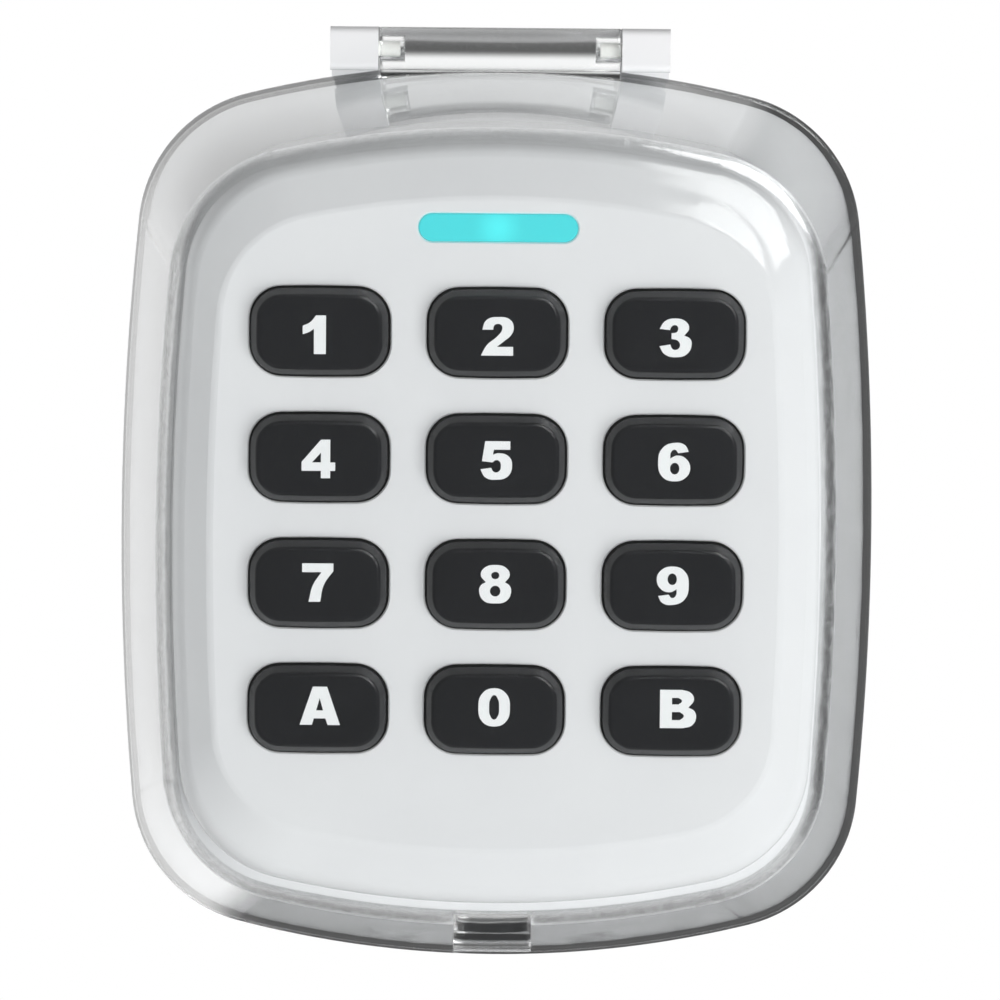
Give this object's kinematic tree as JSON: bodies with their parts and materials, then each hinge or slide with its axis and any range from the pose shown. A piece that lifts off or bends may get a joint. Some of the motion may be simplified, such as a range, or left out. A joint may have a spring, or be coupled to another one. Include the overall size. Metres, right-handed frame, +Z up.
{
  "type": "alarm keypad panel",
  "caption": "Wall-mounted alarm keypad: white case with black rubber number keys and a lit status bar under a hinged clear cover that flips up",
  "frame": {"origin": "middle of the rear face that lies on the wall, midway across the cover's rim in height", "axes": "X to the right as seen from the room, Z up, the room towards -Y and the wall towards +Y"},
  "size_m": [0.0806, 0.0321, 0.0998],
  "materials": {
    "white_abs": "moulded, glossy",
    "white_acetal": "turned, smooth",
    "clear_polycarbonate": "clear moulded polycarbonate, polished",
    "white_abs_plate": "moulded, fine texture",
    "seal_rubber": "moulded",
    "mat_silicone": "moulded silicone, matt",
    "key_rubber": "moulded silicone, satin, printed legend",
    "carbon_pill": "carbon-loaded silicone",
    "light_diffuser": "moulded translucent diffuser",
    "led_package": "moulded package",
    "solder_masked_board": "green solder mask over glass laminate",
    "carbon_ink": "screen-printed carbon",
    "chip_epoxy": "moulded epoxy",
    "shield_can": "tinned sheet",
    "antenna_wire": "insulated wire",
    "buzzer_plastic": "moulded",
    "switch_plastic": "moulded",
    "plunger_plastic": "moulded",
    "tray_plastic": "moulded",
    "cell_sleeve": "plain printed sleeve",
    "spring_steel": "nickel plated",
    "nickel_strip": "nickel plated",
    "zinc_screw": "zinc plated",
    "stainless_screw": "machined"
  },
  "bodies": {
    "case": {"front_housing": "white_abs", "hinge_pins": "white_acetal", "wall_plate": "white_abs_plate", "plate_seal": "seal_rubber", "rim_seal": "seal_rubber", "light_bar": "light_diffuser", "status_leds": "led_package", "circuit_board": "solder_masked_board", "contact_tracks": "carbon_ink", "microcontroller": "chip_epoxy", "radio_module": "shield_can", "antenna": "antenna_wire", "buzzer": "buzzer_plastic", "tamper_switch": "switch_plastic", "tamper_plunger": "plunger_plastic", "battery_tray": "tray_plastic", "battery_cells": "cell_sleeve", "battery_springs": "spring_steel", "battery_contacts": "nickel_strip", "board_screws": "zinc_screw", "lock_screw": "stainless_screw", "key_mat": "mat_silicone"},
    "cover": {"clear_cover": "clear_polycarbonate"},
    "button_1": {"key_1": "key_rubber", "contact_pill_1": "carbon_pill"},
    "button_2": {"key_2": "key_rubber", "contact_pill_2": "carbon_pill"},
    "button_3": {"key_3": "key_rubber", "contact_pill_3": "carbon_pill"},
    "button_4": {"key_4": "key_rubber", "contact_pill_4": "carbon_pill"},
    "button_5": {"key_5": "key_rubber", "contact_pill_5": "carbon_pill"},
    "button_6": {"key_6": "key_rubber", "contact_pill_6": "carbon_pill"},
    "button_7": {"key_7": "key_rubber", "contact_pill_7": "carbon_pill"},
    "button_8": {"key_8": "key_rubber", "contact_pill_8": "carbon_pill"},
    "button_9": {"key_9": "key_rubber", "contact_pill_9": "carbon_pill"},
    "button_a": {"key_a": "key_rubber", "contact_pill_a": "carbon_pill"},
    "button_0": {"key_0": "key_rubber", "contact_pill_0": "carbon_pill"},
    "button_b": {"key_b": "key_rubber", "contact_pill_b": "carbon_pill"}
  },
  "joints": [
    {"name": "cover_hinge", "type": "hinge", "parent": "case", "child": "cover", "pos_m": [0, -0.0125, 0.0495], "axis": [-1, 0, 0], "range_deg": [0, 135]},
    {"name": "press_1", "type": "slide", "parent": "case", "child": "button_1", "axis": [0, 1, 0], "range_m": [0, 0.0012], "stiffness_N_per_m": 600},
    {"name": "press_2", "type": "slide", "parent": "case", "child": "button_2", "axis": [0, 1, 0], "range_m": [0, 0.0012], "stiffness_N_per_m": 600},
    {"name": "press_3", "type": "slide", "parent": "case", "child": "button_3", "axis": [0, 1, 0], "range_m": [0, 0.0012], "stiffness_N_per_m": 600},
    {"name": "press_4", "type": "slide", "parent": "case", "child": "button_4", "axis": [0, 1, 0], "range_m": [0, 0.0012], "stiffness_N_per_m": 600},
    {"name": "press_5", "type": "slide", "parent": "case", "child": "button_5", "axis": [0, 1, 0], "range_m": [0, 0.0012], "stiffness_N_per_m": 600},
    {"name": "press_6", "type": "slide", "parent": "case", "child": "button_6", "axis": [0, 1, 0], "range_m": [0, 0.0012], "stiffness_N_per_m": 600},
    {"name": "press_7", "type": "slide", "parent": "case", "child": "button_7", "axis": [0, 1, 0], "range_m": [0, 0.0012], "stiffness_N_per_m": 600},
    {"name": "press_8", "type": "slide", "parent": "case", "child": "button_8", "axis": [0, 1, 0], "range_m": [0, 0.0012], "stiffness_N_per_m": 600},
    {"name": "press_9", "type": "slide", "parent": "case", "child": "button_9", "axis": [0, 1, 0], "range_m": [0, 0.0012], "stiffness_N_per_m": 600},
    {"name": "press_a", "type": "slide", "parent": "case", "child": "button_a", "axis": [0, 1, 0], "range_m": [0, 0.0012], "stiffness_N_per_m": 600},
    {"name": "press_0", "type": "slide", "parent": "case", "child": "button_0", "axis": [0, 1, 0], "range_m": [0, 0.0012], "stiffness_N_per_m": 600},
    {"name": "press_b", "type": "slide", "parent": "case", "child": "button_b", "axis": [0, 1, 0], "range_m": [0, 0.0012], "stiffness_N_per_m": 600}
  ]
}
